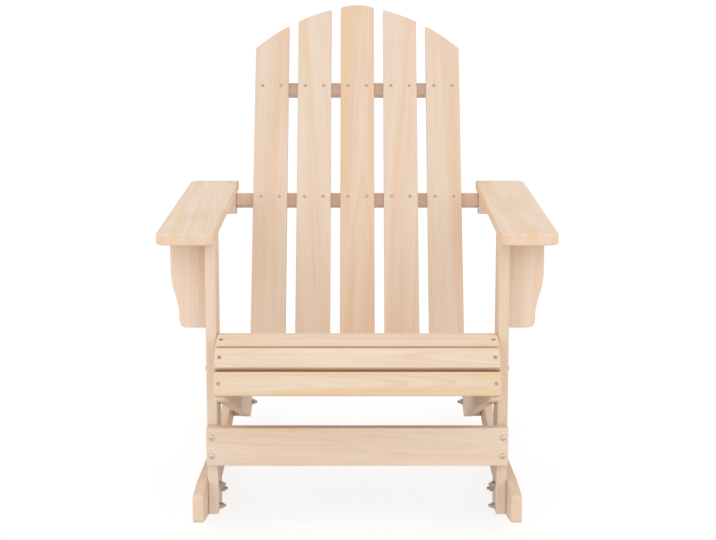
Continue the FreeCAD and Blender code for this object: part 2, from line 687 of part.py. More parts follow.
# Every object must be sound before anything is written
for item in doc.Objects:
    if "Invalid" in item.State or "Error" in item.State:
        raise RuntimeError("%s failed: %s" % (item.Label, item.State))
nodes = [body for body, frame in boards.values()] + [doc.getObject(group) for group in fasteners]
for item in nodes:
    if item.Shape.isNull() or not item.Shape.isValid():
        raise RuntimeError(item.Label + " has no valid shape")
    if item.isDerivedFrom("PartDesign::Body") and len(item.Shape.Solids) != 1:
        raise RuntimeError(item.Label + " is not one solid")
for item in nodes:
    item.Shape.exportStep("parts/%s.step" % item.Label)
print(len(nodes), "nodes written")
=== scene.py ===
from functools import partial
import math
import random

import bpy
import bmesh
from mathutils import Euler, Matrix, Vector


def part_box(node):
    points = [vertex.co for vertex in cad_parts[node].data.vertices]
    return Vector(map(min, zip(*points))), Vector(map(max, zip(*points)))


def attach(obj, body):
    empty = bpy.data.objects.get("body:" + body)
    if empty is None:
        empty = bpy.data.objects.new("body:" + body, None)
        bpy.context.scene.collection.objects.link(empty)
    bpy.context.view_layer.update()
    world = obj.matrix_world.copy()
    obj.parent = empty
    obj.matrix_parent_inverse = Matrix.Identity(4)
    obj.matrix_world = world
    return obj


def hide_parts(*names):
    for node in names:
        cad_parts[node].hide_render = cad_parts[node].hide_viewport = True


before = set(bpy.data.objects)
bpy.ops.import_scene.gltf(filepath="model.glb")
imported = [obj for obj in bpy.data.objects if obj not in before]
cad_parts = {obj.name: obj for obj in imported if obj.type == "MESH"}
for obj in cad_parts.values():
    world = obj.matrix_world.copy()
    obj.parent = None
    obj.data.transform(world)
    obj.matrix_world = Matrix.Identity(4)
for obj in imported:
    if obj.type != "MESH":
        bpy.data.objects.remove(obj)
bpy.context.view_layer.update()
print("frame loaded,", len(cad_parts), "nodes")


def linear(hexColour):
    parts = [int(hexColour[i:i + 2], 16) / 255 for i in (1, 3, 5)]
    return tuple(c / 12.92 if c <= 0.04045 else ((c + 0.055) / 1.055) ** 2.4 for c in parts) + (1.0,)


# A second word in a node's kind is its operation. An input is a value, a socket, a node (which stands
# for its first output) or a list of nodes; inputs without names go to the sockets in their order.
def addNode(tree, kind, inputs=(), settings=None):
    kind, _, operation = kind.partition(" ")
    node = tree.nodes.new(kind)
    if operation:
        node.operation = operation
    for key, value in (settings or {}).items():
        setattr(node, key, value)
    for key, value in inputs.items() if isinstance(inputs, dict) else enumerate(inputs):
        for item in value if isinstance(value, list) else [value]:
            if isinstance(item, bpy.types.Node):
                item = item.outputs[0]
            if isinstance(item, bpy.types.NodeSocket):
                tree.links.new(item, node.inputs[key])
            else:
                node.inputs[key].default_value = item
    return node


# Camera: looks down on the chair from the front, with a little shift so that uprights stay upright
camera = {
    "place": (0, -3.1495, 1.059),
    "pitch": 9.19,   # degrees below level
    "lens": 80.97,
    "shift": (0.001, -0.1),
}


def makeCamera(c):
    data = bpy.data.cameras.new("camera")
    data.lens = c["lens"]
    data.sensor_width = 36
    data.sensor_fit = "HORIZONTAL"
    data.shift_x, data.shift_y = c["shift"]
    item = bpy.data.objects.new("camera", data)
    item.location = c["place"]
    item.rotation_euler = (math.radians(90 - c["pitch"]), 0, 0)
    bpy.context.scene.collection.objects.link(item)
    bpy.context.scene.camera = item


makeCamera(camera)
print("camera placed")

# Studio: an even white room, a white paper floor and two broad lamps, at the front left and right.
# What the camera sees of the room and the floor is set apart from the light that they give.
studio = {
    "roomLight": 0.68,
    "roomShown": 1.0,
    "paper": "#F0EFED",
    "paperShown": "#FFFFFF",
    "paperGlow": 1.07,
    "shadowShare": 0.24,  # how much of the chair's shadow shows on the paper
    "paperHalf": 40.0,    # metres from the middle to the edge
    "lampStrength": 0.8,
    "lampAside": 48,      # degrees to either side
    "lampRise": 30,       # degrees above level
    "lampSoftness": 60,   # degrees across
}


# 1 for what the camera sees, straight or by way of metal or glass, and 0 for what only gives light
def seenByCamera(add):
    path = add("ShaderNodeLightPath").outputs
    seen = add("ShaderNodeMath MAXIMUM", (path["Is Camera Ray"], path["Is Glossy Ray"]))
    return add("ShaderNodeMath MAXIMUM", (seen, path["Is Transmission Ray"]))


def makeRoom(s):
    world = bpy.data.worlds.new("studio")
    bpy.context.scene.world = world
    world.use_nodes = True
    world.node_tree.nodes.clear()
    add = partial(addNode, world.node_tree)
    light, shown = (add("ShaderNodeBackground", {"Color": (1, 1, 1, 1), "Strength": s[strength]})
                    for strength in ("roomLight", "roomShown"))
    mix = add("ShaderNodeMixShader", (seenByCamera(add), light, shown))
    add("ShaderNodeOutputWorld", {"Surface": mix})


def makeLamps(s):
    aside, rise = math.radians(s["lampAside"]), math.radians(s["lampRise"])
    for label, side in (("left lamp", -1), ("right lamp", 1)):
        data = bpy.data.lights.new(label, "SUN")
        data.energy = s["lampStrength"]
        data.angle = math.radians(s["lampSoftness"])
        lamp = bpy.data.objects.new(label, data)
        towards = Vector((side * math.sin(aside), -math.cos(aside), math.tan(rise)))
        lamp.rotation_euler = towards.to_track_quat("Z", "Y").to_euler()
        bpy.context.scene.collection.objects.link(lamp)


def makeFloor(s):
    half = s["paperHalf"]
    mesh = bpy.data.meshes.new("floor")
    mesh.from_pydata([(-half, -half, 0), (half, -half, 0), (half, half, 0), (-half, half, 0)], [],
                     [(0, 1, 2, 3)])
    floor = bpy.data.objects.new("floor", mesh)
    bpy.context.scene.collection.objects.link(floor)
    paper = bpy.data.materials.new("studio paper")
    paper.use_nodes = True
    paper.node_tree.nodes.clear()
    add = partial(addNode, paper.node_tree)
    light = add("ShaderNodeBsdfDiffuse", {"Color": linear(s["paper"])})
    white = add("ShaderNodeBsdfDiffuse", {"Color": linear(s["paperShown"])})
    glow = add("ShaderNodeEmission", {"Color": linear(s["paperShown"]), "Strength": s["paperGlow"]})
    shown = add("ShaderNodeMixShader", (s["shadowShare"], glow, white))
    mix = add("ShaderNodeMixShader", (seenByCamera(add), light, shown))
    add("ShaderNodeOutputMaterial", {"Surface": mix})
    mesh.materials.append(paper)


makeRoom(studio)
makeLamps(studio)
makeFloor(studio)
bpy.context.scene.view_settings.view_transform = "Standard"
print("studio made")

# The figure of a sawn softwood board: yearly rings round a pith that lies beside or below the board,
# of which a few years show more than the rest, fine fibres along it, broad soft streaks of pinker,
# yellower and paler wood, and a few thin brown resin streaks. Board coordinates are in metres: X along
# the grain, Y across the face, Z through the thickness.
figure = {
    # Number per metre along, across and through the board, and detail
    "sway": ((1.4, 5.0, 5.0), 1.5),
    "fibres": ((8.0, 420.0, 420.0), 3.0),     # 2.4 mm, coarser than the real fibres so that they show
    "hairs": ((24.0, 1500.0, 1500.0), 2.0),   # 0.7 mm
    "noiseRoughness": 0.55,
    "hairShare": 0.4,        # of the fine pattern, the rest is fibres
    "fineShade": 0.2,
    "spellsPerYear": 0.37,   # spells of wide and of narrow years
    "unevenness": 0.9,       # years that a spell comes early or late
    "rarity": 2.5,           # the higher, the fewer years show
    "faintest": 0.2,         # how much the others show
    "season": {0.0: 0.3, 0.14: 0.0, 0.45: 0.15, 0.78: 0.8, 0.92: 1.0, 1.0: 0.35},   # how dark
    "streaks": {
        "Pink": ((1.6, 80.0, 40.0), 2.0),      # 12 mm across
        "Warm": ((1.1, 52.0, 30.0), 3.0),      # 19 mm
        "Pale": ((3.0, 14.0, 14.0), 2.0),      # 70 mm
        "Brown": ((14.0, 260.0, 260.0), 1.0),  # 4 mm, of which only the peaks show
    },
    # Where in its pattern each colour starts, where it is full, and its share there. An end shows by
    # how squarely the grain faces out, and the painted seam shade by how little open air lies before the
    # wood.
    "spreads": {
        "Pink": (0.42, 0.68, 0.55),
        "Warm": (0.4, 0.66, "Warmth"),
        "Pale": (0.48, 0.74, 0.5),
        "Brown": (0.64, 0.8, "Resin"),
        "End": (0.6, 0.95, 0.4),
        "Seam": (0.55, 0.05, 0.85),
    },
    "roughness": 0.56,
    "fineRougher": 0.16,
    "lateSmoother": 0.05,
    "lateHeight": 0.7,
    "fibreHeight": 0.8,
}


def makeFigureGroup(f):
    tree = bpy.data.node_groups.new("softwood figure", "ShaderNodeTree")
    sockets = (
        ("INPUT", "NodeSocketVector", ("Board", "Pith")),
        ("INPUT", "NodeSocketFloat", ("Grain Facing", "Open", "Seed", "Lean", "Slant", "Ring", "Wander",
                                      "Contrast", "Warmth", "Resin")),
        ("INPUT", "NodeSocketColor", ("Early", "Late", "Warm", "Pink", "Pale", "Brown", "End", "Seam",
                                      "Tone")),
        ("OUTPUT", "NodeSocketColor", ("Colour",)),
        ("OUTPUT", "NodeSocketFloat", ("Roughness", "Height")),
    )
    for way, kind, names in sockets:
        for name in names:
            tree.interface.new_socket(name=name, in_out=way, socket_type=kind)
    add = partial(addNode, tree)
    given = add("NodeGroupInput").outputs

    # A pattern drawn out along the grain
    def drawnOut(place, perMetre, detail):
        scaled = add("ShaderNodeVectorMath MULTIPLY", (place, perMetre))
        return add("ShaderNodeTexNoise", {"Vector": scaled, "W": given["Seed"], "Scale": 1.0,
                                          "Detail": detail, "Roughness": f["noiseRoughness"]},
                   {"noise_dimensions": "4D"})

    # The grain's course: it slants across the board and through it, and sways
    sway = drawnOut(given["Board"], *f["sway"]).outputs["Color"]
    sway = add("ShaderNodeVectorMath SUBTRACT", (sway, (0.5, 0.5, 0.5)))
    sway = add("ShaderNodeVectorMath SCALE", {0: sway, "Scale": given["Wander"]})
    along, across, through = add("ShaderNodeSeparateXYZ", (given["Board"],)).outputs
    across = add("ShaderNodeMath MULTIPLY_ADD", (along, given["Slant"], across))
    through = add("ShaderNodeMath MULTIPLY_ADD", (along, given["Lean"], through))
    slanted = add("ShaderNodeCombineXYZ", (along, across, through))
    course = add("ShaderNodeVectorMath ADD", (slanted, sway))

    # Years from the pith
    fromPith = add("ShaderNodeVectorMath ADD", (course, given["Pith"]))
    fromPith = add("ShaderNodeVectorMath MULTIPLY", (fromPith, (0.0, 1.0, 1.0)))
    distance = add("ShaderNodeVectorMath LENGTH", (fromPith,)).outputs["Value"]
    years = add("ShaderNodeMath DIVIDE", (distance, given["Ring"]))
    spells = add("ShaderNodeMath MULTIPLY_ADD", (years, f["spellsPerYear"], given["Seed"]))
    spells = add("ShaderNodeTexNoise", {"W": spells, "Scale": 1.0, "Detail": 1.0},
                 {"noise_dimensions": "1D"})
    years = add("ShaderNodeMath MULTIPLY_ADD", (spells, f["unevenness"], years))

    # Within a year: pale early wood, then a darker line of late wood that ends sharply
    season = add("ShaderNodeMath FRACT", (years,))
    late = add("ShaderNodeValToRGB", (season,))
    ramp = late.color_ramp
    ramp.interpolation = "EASE"
    for place, level in f["season"].items():
        ends = {0.0: ramp.elements[0], 1.0: ramp.elements[-1]}
        stop = ends.get(place) or ramp.elements.new(place)
        stop.color = (level, level, level, 1.0)
    year = add("ShaderNodeMath FLOOR", (years,))
    year = add("ShaderNodeMath ADD", (year, given["Seed"]))
    showing = add("ShaderNodeTexWhiteNoise", {"W": year}, {"noise_dimensions": "1D"})
    showing = add("ShaderNodeMath POWER", (showing, f["rarity"]))
    showing = add("ShaderNodeMath MULTIPLY_ADD", (showing, 1 - f["faintest"], f["faintest"]))
    late = add("ShaderNodeMath MULTIPLY", (late, showing))

    fibres = drawnOut(given["Board"], *f["fibres"])
    hairs = drawnOut(given["Board"], *f["hairs"])
    fine = add("ShaderNodeMath MULTIPLY", (hairs, f["hairShare"]))
    fine = add("ShaderNodeMath MULTIPLY_ADD", (fibres, 1 - f["hairShare"], fine))

    # How much of each colour shows where
    shares = {"Late": add("ShaderNodeMath MULTIPLY", (late, given["Contrast"]))}
    patterns = {name: drawnOut(course, *pattern) for name, pattern in f["streaks"].items()}
    patterns.update({"End": given["Grain Facing"], "Seam": given["Open"]})
    for name, (start, full, share) in f["spreads"].items():
        share = given[share] if isinstance(share, str) else share
        shares[name] = add("ShaderNodeMapRange", {"Value": patterns[name], "From Min": start,
                                                  "From Max": full, "To Max": share},
                           {"interpolation_type": "SMOOTHSTEP"})

    # Colour, layer on layer
    shade = add("ShaderNodeMath MULTIPLY_ADD", (fine, f["fineShade"], 1 - f["fineShade"] / 2))
    layers = [(shares[name], given[name], "MIX") for name in ("Late", "Pink", "Warm", "Pale", "Brown")]
    layers += [(1.0, shade, "MULTIPLY"), (shares["End"], given["End"], "MIX"),
               (1.0, given["Tone"], "MULTIPLY"), (shares["Seam"], given["Seam"], "MIX")]
    colour = given["Early"]
    for share, layer, blend in layers:
        colour = add("ShaderNodeMix", {"Factor": share, 6: colour, 7: layer},
                     {"data_type": "RGBA", "blend_type": blend}).outputs[2]

    # Late wood is a little smoother and stands a little proud
    roughness = add("ShaderNodeMath MULTIPLY_ADD", (late, -f["lateSmoother"], f["roughness"]))
    roughness = add("ShaderNodeMath MULTIPLY_ADD", (fine, f["fineRougher"], roughness))
    height = add("ShaderNodeMath MULTIPLY", (late, f["lateHeight"]))
    height = add("ShaderNodeMath MULTIPLY_ADD", (fibres, f["fibreHeight"], height))
    add("NodeGroupOutput", {"Colour": colour, "Roughness": roughness, "Height": height})
    return tree


figureGroup = makeFigureGroup(figure)

# Bare fir, planed and sanded: pinkish beige, nearly matt, with soft fibres and a low, even figure
fir = {
    "colours": {
        "Early": "#EBD7C4",
        "Late": "#CCA482",
        "Warm": "#E7C69B",
        "Pink": "#E8C4AE",
        "Pale": "#EFDECD",
        "Brown": "#BE9069",
        "End": "#E0C0A2",
        "Seam": "#A87E5C",    # painted shade where two boards meet, and in corners where little open air lies before the wood
    },
    "paintedShadeReach": 0.012,
    "paintedShadeSamples": 6,
    "bump": 0.35,
    "bumpDepth": 0.0003,
    "ior": 1.45,
    "specular": 0.35,
}


# Board coordinates start at the board's centre and turn with its grain, and board holds what varies
def makeWood(name, wood, centre, grain, through, board):
    material = bpy.data.materials.new(name)
    material.use_nodes = True
    tree = material.node_tree
    add = partial(addNode, tree)
    turn = Matrix((grain, through.cross(grain), through)).transposed().to_euler()
    coordinates = add("ShaderNodeTexCoord").outputs
    place = add("ShaderNodeMapping", {"Vector": coordinates["Object"], "Location": centre,
                                      "Rotation": turn}, {"vector_type": "TEXTURE"})
    facing = add("ShaderNodeVectorMath DOT_PRODUCT", (coordinates["Normal"], grain)).outputs["Value"]
    facing = add("ShaderNodeMath ABSOLUTE", (facing,))
    # Painted shade: the wood is darkened in seams and corners wherever ambient occlusion finds another
    # surface near
    paintedSeamShade = add("ShaderNodeAmbientOcclusion", {"Distance": wood["paintedShadeReach"]},
                {"samples": wood["paintedShadeSamples"]})
    colours = {key: linear(value) for key, value in wood["colours"].items()}
    figured = add("ShaderNodeGroup", {"Board": place, "Grain Facing": facing, "Open": paintedSeamShade.outputs["AO"],
                                      **colours, **board}, {"node_tree": figureGroup}).outputs
    bump = add("ShaderNodeBump", {"Strength": wood["bump"], "Distance": wood["bumpDepth"],
                                  "Height": figured["Height"]})
    shader = tree.nodes["Principled BSDF"]
    tree.links.new(figured["Colour"], shader.inputs["Base Color"])
    tree.links.new(figured["Roughness"], shader.inputs["Roughness"])
    tree.links.new(bump.outputs[0], shader.inputs["Normal"])
    shader.inputs["IOR"].default_value = wood["ior"]
    shader.inputs["Specular IOR Level"].default_value = wood["specular"]
    return material


# How the back and the seat slope, in degrees
slopes = {
    "backLean": 25.9,             # from upright
    "seatFall": 19.2,
    "noseTilts": (72, 39.5, 14),  # the slats round the seat's front
    "straightSlats": 8,           # how many lie along the seat's fall
}


def tilted(degrees):
    turn = math.radians(degrees)
    return Vector((0, math.cos(turn), math.sin(turn))), Vector((0, -math.sin(turn), math.cos(turn)))


# How each kind of board lies: the way of its grain, and the way through its thickness
acrossChair, alongChair, upright = Vector((1, 0, 0)), Vector((0, 1, 0)), Vector((0, 0, 1))
backUp, backOut = tilted(90 - slopes["backLean"])[0], tilted(-slopes["backLean"])[0]
boardWays = {
    "rocker_left": (alongChair, acrossChair),
    "rocker_right": (alongChair, acrossChair),
    "stringer": (tilted(-slopes["seatFall"])[0], acrossChair),
    "front_leg": (upright, acrossChair),
    "tail_spacer": (alongChair, acrossChair),
    "armrest": (alongChair, upright),
    "arm_bracket": (upright, alongChair),
    "arm_cleat": (alongChair, acrossChair),
    "front_stretcher": (acrossChair, alongChair),
    "back_slat": (backUp, backOut),
    "back_rail": (acrossChair, backOut),
}
slatTilts = slopes["noseTilts"] + (-slopes["seatFall"],) * slopes["straightSlats"]
for number, tilt in enumerate(slatTilts, start=1):
    boardWays["seat_slat_%d" % number] = (acrossChair, tilted(tilt)[1])

# What varies from board to board, between these ends
boardRanges = {
    "Seed": (0, 50),
    "Lean": (-0.03, 0.03),      # how far the grain leaves the board's face
    "Slant": (-0.04, 0.04),     # how far it leaves the board's edge
    "Ring": (0.0022, 0.0036),   # width of a year, in metres
    "Wander": (0.014, 0.035),   # sway, in metres
    "Contrast": (0.2, 0.4),
    "Warmth": (0.3, 0.6),
    "Resin": (0.05, 0.3),
    "tone": (0.985, 1.01),
}
pithRanges = {                  # metres from the board's middle, across its face and through it
    "rift": ((0.07, 0.13), (0.01, 0.05)),      # rings upright in the board
    "flat": ((-0.025, 0.025), (0.03, 0.07)),   # rings nearly parallel to its face
}

# What sets some boards apart. The tones, and which board is redder or yellower, are the photograph's. These
# tones hold painted light and shade as well as the wood's colour: the stringers and the arm brackets are
# painted lighter where they lie in shade, and the back rails are painted darker for the shade behind the
# slats.
boardLooks = {
    "armrest": {"cut": "flat", "Warmth": 0.75, "Contrast": 0.3, "Wander": 0.06, "Ring": 0.004,
                "Resin": 0.1, "tone": 1.05},
    # tone partly painted light, for the bracket's front in the arm's shade
    "arm_bracket": {"cut": "rift", "Warmth": 0.3, "Contrast": 0.45, "tone": 1.035},
    "front_leg": {"cut": "rift", "Warmth": 0.4, "tone": 1.0, "redder": 0.98},
    # tone partly painted light, for the stringers' faces in shade under the seat
    "stringer": {"cut": "flat", "Contrast": 0.3, "tone": 1.09},
    "back_slat_2": {"cut": "rift", "Warmth": 0.4, "Slant": 0.05, "tone": 0.95},
    "back_slat_3": {"cut": "flat", "Warmth": 0.6, "Contrast": 0.3, "Slant": -0.03, "tone": 0.92,
                    "redder": 1.04, "bluer": 0.95},
    "back_slat_4": {"cut": "rift", "Warmth": 0.4, "Slant": -0.06, "tone": 0.95},
    "back_slat": {"cut": "rift", "Warmth": 0.35, "Contrast": 0.35, "tone": 0.935},
    # tone and redness partly painted shade, for the rails in shade behind the slats
    "back_rail": {"cut": "rift", "Warmth": 0.4, "tone": 0.87, "redder": 1.05},
    "seat_slat_1": {"cut": "flat", "Warmth": 0.8, "Contrast": 0.35, "tone": 0.965, "bluer": 0.95},
    "seat_slat_2": {"cut": "flat", "Warmth": 0.3, "Contrast": 0.4, "redder": 0.97},
    "seat_slat_3": {"cut": "flat", "Contrast": 0.3, "tone": 1.03},
    "front_stretcher": {"cut": "flat", "Warmth": 0.25, "Contrast": 0.4, "Resin": 0.3, "Wander": 0.03},
}
plainLook = {"Contrast": 0.3}


def dressBoards():
    chance = random.Random(11)
    count = 0
    for node in sorted(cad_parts):
        kind = node.rpartition("_")[0]
        ways = boardWays.get(node) or boardWays.get(kind)
        if ways is None:
            continue
        low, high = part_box(node)
        grain, through = ways
        look = boardLooks.get(node) or boardLooks.get(kind) or plainLook
        side = chance.choice((-1, 1))
        cut = look.get("cut", chance.choice(("rift", "flat")))
        aside, below = (chance.uniform(*ends) for ends in pithRanges[cut])
        board = {name: chance.uniform(*ends) for name, ends in boardRanges.items()}
        tone = look.get("tone", 1.0) * board.pop("tone")
        board.update({name: value for name, value in look.items() if name in board})
        board["Pith"] = (0, side * aside if cut == "rift" else aside, side * below)
        board["Tone"] = (tone * look.get("redder", 1.0), tone, tone * look.get("bluer", 1.0), 1.0)
        material = makeWood("bare fir " + node, fir, (low + high) / 2, grain, through, board)
        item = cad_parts[node]
        item.data.materials.clear()
        item.data.materials.append(material)
        count += 1
    print("boards dressed:", count)


dressBoards()

# Zinc-plated steel: a soft grey shine with a faint mottle from the plating. Screws are a little
# yellowed, the stretcher bolts' domed heads pale, and the nuts and washers duller.
zinc = {
    "head": {"colour": "#D6CFC6", "dull": "#BDB5AA", "roughness": (0.38, 0.5)},
    "screw": {"colour": "#CEB9A3", "dull": "#B0987F", "roughness": (0.4, 0.55)},
    "nut": {"colour": "#C6BFB4", "dull": "#A59D91", "roughness": (0.4, 0.6)},
    "spotsPerMetre": 900.0,   # 1.1 mm
}


def makeMetal(name, steel):
    material = bpy.data.materials.new(name)
    material.use_nodes = True
    tree = material.node_tree
    add = partial(addNode, tree)
    coordinates = add("ShaderNodeTexCoord").outputs
    spots = add("ShaderNodeTexNoise", {"Vector": coordinates["Object"], "Scale": zinc["spotsPerMetre"],
                                       "Detail": 3.0})
    tone = add("ShaderNodeMix", {"Factor": spots, 6: linear(steel["colour"]), 7: linear(steel["dull"])},
               {"data_type": "RGBA"})
    smoothest, roughest = steel["roughness"]
    rough = add("ShaderNodeMapRange", {"Value": spots, "To Min": smoothest, "To Max": roughest})
    shader = tree.nodes["Principled BSDF"]
    tree.links.new(tone.outputs[2], shader.inputs["Base Color"])
    tree.links.new(rough.outputs[0], shader.inputs["Roughness"])
    shader.inputs["Metallic"].default_value = 1.0
    return material


headSteel = makeMetal("zinc-plated steel bolt", zinc["head"])
screwSteel = makeMetal("zinc-plated steel screw", zinc["screw"])
nutSteel = makeMetal("zinc-plated steel nut", zinc["nut"])

# Turned beech: the dowels that hold the arms, hidden in their holes
beech = {
    "colours": {
        "Early": "#E2BC93",
        "Late": "#CFA176",
        "Warm": "#DDB184",
        "Pink": "#DBAF8B",
        "Pale": "#E8C7A2",
        "Brown": "#A87C55",
        "End": "#C99B70",
        # painted shade where two pieces meet
        "Seam": "#96683F",
    },
    "paintedShadeReach": 0.012,
    "paintedShadeSamples": 6,
    "bump": 0.3,
    "bumpDepth": 0.0002,
    "ior": 1.45,
    "specular": 0.35,
}
dowelStick = {"Seed": 3.0, "Pith": (0, 0.09, 0.03), "Ring": 0.002, "Wander": 0.01, "Contrast": 0.4,
              "Warmth": 0.3, "Tone": (1.0, 1.0, 1.0, 1.0)}
beechDowel = makeWood("turned beech", beech, Vector((0, -0.33, 0.53)), upright, acrossChair, dowelStick)
print("finishes made")


# Fasteners. A tree makes one of its kind along +Z, from its head or outer face at the origin, and
# sets it at every place of its CAD node. Sizes are in millimetres here and in metres in the trees.
notSizes = ("Threaded Share", "Lens Width", "Lens Height", "Flutes")


def newTree(name, sizes):
    tree = bpy.data.node_groups.new(name, "GeometryNodeTree")
    sockets = [("Geometry", "NodeSocketGeometry")] + [(size, "NodeSocketFloat") for size in sizes]
    sockets.append(("Finish", "NodeSocketMaterial"))
    for label, kind in sockets:
        tree.interface.new_socket(name=label, in_out="INPUT", socket_type=kind)
    tree.interface.new_socket(name="Geometry", in_out="OUTPUT", socket_type="NodeSocketGeometry")
    add = partial(addNode, tree)
    return tree, add, add("NodeGroupInput").outputs


def raised(add, shape, height, turn=(0.0, 0.0, 0.0)):
    shift = add("ShaderNodeCombineXYZ", {2: height})
    return add("GeometryNodeTransform", {"Geometry": shape, "Translation": shift, "Rotation": turn})


def tube(add, radius, start, length, sides=24):
    made = add("GeometryNodeMeshCylinder", {"Vertices": sides, "Radius": radius, "Depth": length})
    return raised(add, made, add("ShaderNodeMath MULTIPLY_ADD", (length, 0.5, start)))


def taper(add, near, far, start, length, sides=24):
    made = add("GeometryNodeMeshCone", {"Vertices": sides, "Radius Top": far, "Radius Bottom": near,
                                        "Depth": length})
    return raised(add, made, start)


def block(add, x, y, z, middle=0.0):
    size = add("ShaderNodeCombineXYZ", (x, y, z))
    return raised(add, add("GeometryNodeMeshCube", {"Size": size}), middle)


def bored(add, solid, radius, height):   # the cutter reaches past both faces
    above = add("ShaderNodeMath MULTIPLY", (height, -1.0))
    cutter = tube(add, radius, above, add("ShaderNodeMath MULTIPLY", (height, 3.0)))
    return add("GeometryNodeMeshBoolean DIFFERENCE", {"Mesh 1": solid, "Mesh 2": cutter},
               {"solver": "EXACT"})


def ellipsoid(add, radius, height, segments, rings):
    ball = add("GeometryNodeMeshUVSphere", {"Segments": segments, "Rings": rings, "Radius": 1.0})
    size = add("ShaderNodeCombineXYZ", (radius, radius, height))
    return add("GeometryNodeTransform", {"Geometry": ball, "Scale": size})


def thread(add, radius, start, length, pitch, height):
    turns = add("ShaderNodeMath DIVIDE", (length, pitch))
    line = add("GeometryNodeCurveSpiral", {"Resolution": 14, "Rotations": turns, "Start Radius": radius,
                                           "End Radius": radius, "Height": length})
    profile = add("GeometryNodeCurvePrimitiveCircle", {"Resolution": 3, "Radius": height})
    made = add("GeometryNodeCurveToMesh", {"Curve": line, "Profile Curve": profile, "Fill Caps": True})
    return raised(add, made, start)


sharpFrom = 32   # degrees between faces, above which an edge looks sharp


def setAtPlaces(add, given, one):
    smooth = add("GeometryNodeSetShadeSmooth", {"Geometry": one, "Shade Smooth": True})
    angle = add("GeometryNodeInputMeshEdgeAngle").outputs["Unsigned Angle"]
    sharp = add("FunctionNodeCompare GREATER_THAN", (angle, math.radians(sharpFrom)), {"data_type": "FLOAT"})
    edges = add("GeometryNodeSetShadeSmooth", {"Geometry": smooth, "Selection": sharp,
                                               "Shade Smooth": False}, {"domain": "EDGE"})
    turn = add("GeometryNodeInputNamedAttribute", {"Name": "turn"}, {"data_type": "FLOAT_VECTOR"})
    rotation = add("FunctionNodeEulerToRotation", (turn,))
    copies = add("GeometryNodeInstanceOnPoints", {"Points": given["Geometry"], "Instance": edges,
                                                  "Rotation": rotation})
    real = add("GeometryNodeRealizeInstances", {"Geometry": copies})
    finish = add("GeometryNodeSetMaterial", {"Geometry": real, "Material": given["Finish"]})
    add("NodeGroupOutput", (finish,))


# Wood screw: a countersunk head with a cross recess, a plain neck, a thread and a point
slatScrew = {
    "Head Radius": 3.8,
    "Head Height": 2.2,
    "Shank Radius": 1.7,
    "Length": 34,
    "Recess Width": 0.9,
    "Recess Arm": 4.0,
    "Recess Depth": 1.5,
    "Point": 5,
    "Tip Radius": 0.2,
    "Pitch": 2.2,
    "Thread Height": 0.3,
    "Threaded Share": 0.55,   # of its length
}


def makeScrewTree():
    tree, add, given = newTree("wood screw", slatScrew)
    head = taper(add, given["Head Radius"], given["Shank Radius"], 0.0, given["Head Height"])
    deep = add("ShaderNodeMath MULTIPLY", (given["Recess Depth"], 2.0))
    slots = [block(add, given["Recess Arm"], given["Recess Width"], deep),
             block(add, given["Recess Width"], given["Recess Arm"], deep)]
    head = add("GeometryNodeMeshBoolean DIFFERENCE", {"Mesh 1": head, "Mesh 2": slots},
               {"solver": "EXACT"})
    pointStart = add("ShaderNodeMath SUBTRACT", (given["Length"], given["Point"]))
    shankLength = add("ShaderNodeMath SUBTRACT", (pointStart, given["Head Height"]))
    shank = tube(add, given["Shank Radius"], given["Head Height"], shankLength, sides=14)
    point = taper(add, given["Shank Radius"], given["Tip Radius"], pointStart, given["Point"],
                  sides=14)
    threadLength = add("ShaderNodeMath MULTIPLY", (given["Length"], given["Threaded Share"]))
    threadStart = add("ShaderNodeMath SUBTRACT", (pointStart, threadLength))
    turned = thread(add, given["Shank Radius"], threadStart, threadLength, given["Pitch"],
                    given["Thread Height"])
    setAtPlaces(add, given, add("GeometryNodeJoinGeometry", ([head, shank, point, turned],)))
    return tree


# Bolt: a domed head with a hexagon socket, and a threaded end
domedBolt = {
    "Head Radius": 5.25,
    "Head Height": 3.3,
    "Shank Radius": 2.9,
    "Length": 49.8,
    "Socket Radius": 2.3,
    "Socket Depth": 2.0,
    "Thread Length": 20,
    "Pitch": 1,
    "Thread Height": 0.12,
}


def makeBoltTree():
    tree, add, given = newTree("domed bolt", domedBolt)
    dome = ellipsoid(add, given["Head Radius"], given["Head Height"], segments=32, rings=20)
    wide = add("ShaderNodeMath MULTIPLY", (given["Head Radius"], 3.0))
    below = block(add, wide, wide, wide, add("ShaderNodeMath MULTIPLY", (wide, 0.5)))
    top = add("ShaderNodeMath MULTIPLY", (given["Head Height"], -1.0))
    socketStart = add("ShaderNodeMath SUBTRACT", (top, given["Socket Depth"]))
    socketDeep = add("ShaderNodeMath MULTIPLY", (given["Socket Depth"], 2.0))
    socket = tube(add, given["Socket Radius"], socketStart, socketDeep, sides=6)
    head = add("GeometryNodeMeshBoolean DIFFERENCE", {"Mesh 1": dome, "Mesh 2": [below, socket]},
               {"solver": "EXACT"})
    shank = tube(add, given["Shank Radius"], 0.0, given["Length"], sides=20)
    threadStart = add("ShaderNodeMath SUBTRACT", (given["Length"], given["Thread Length"]))
    turned = thread(add, given["Shank Radius"], threadStart, given["Thread Length"], given["Pitch"],
                    given["Thread Height"])
    setAtPlaces(add, given, add("GeometryNodeJoinGeometry", ([head, shank, turned],)))
    return tree


# Washer: a flat ring
washerSize = {"Radius": 6, "Bore": 3.2, "Thickness": 1.6}


def makeWasherTree():
    tree, add, given = newTree("washer", washerSize)
    plate = tube(add, given["Radius"], 0.0, given["Thickness"], sides=40)
    setAtPlaces(add, given, bored(add, plate, given["Bore"], given["Thickness"]))
    return tree


# Nut: a hexagon with its corners turned off on both faces, by a lens round it
nutSize = {
    "Corner Radius": 5.77,
    "Bore": 3.1,
    "Height": 5.2,
    "Lens Width": 1.09,    # half of it, in corner radiuses
    "Lens Height": 1.05,   # half of it, in the nut's heights
}


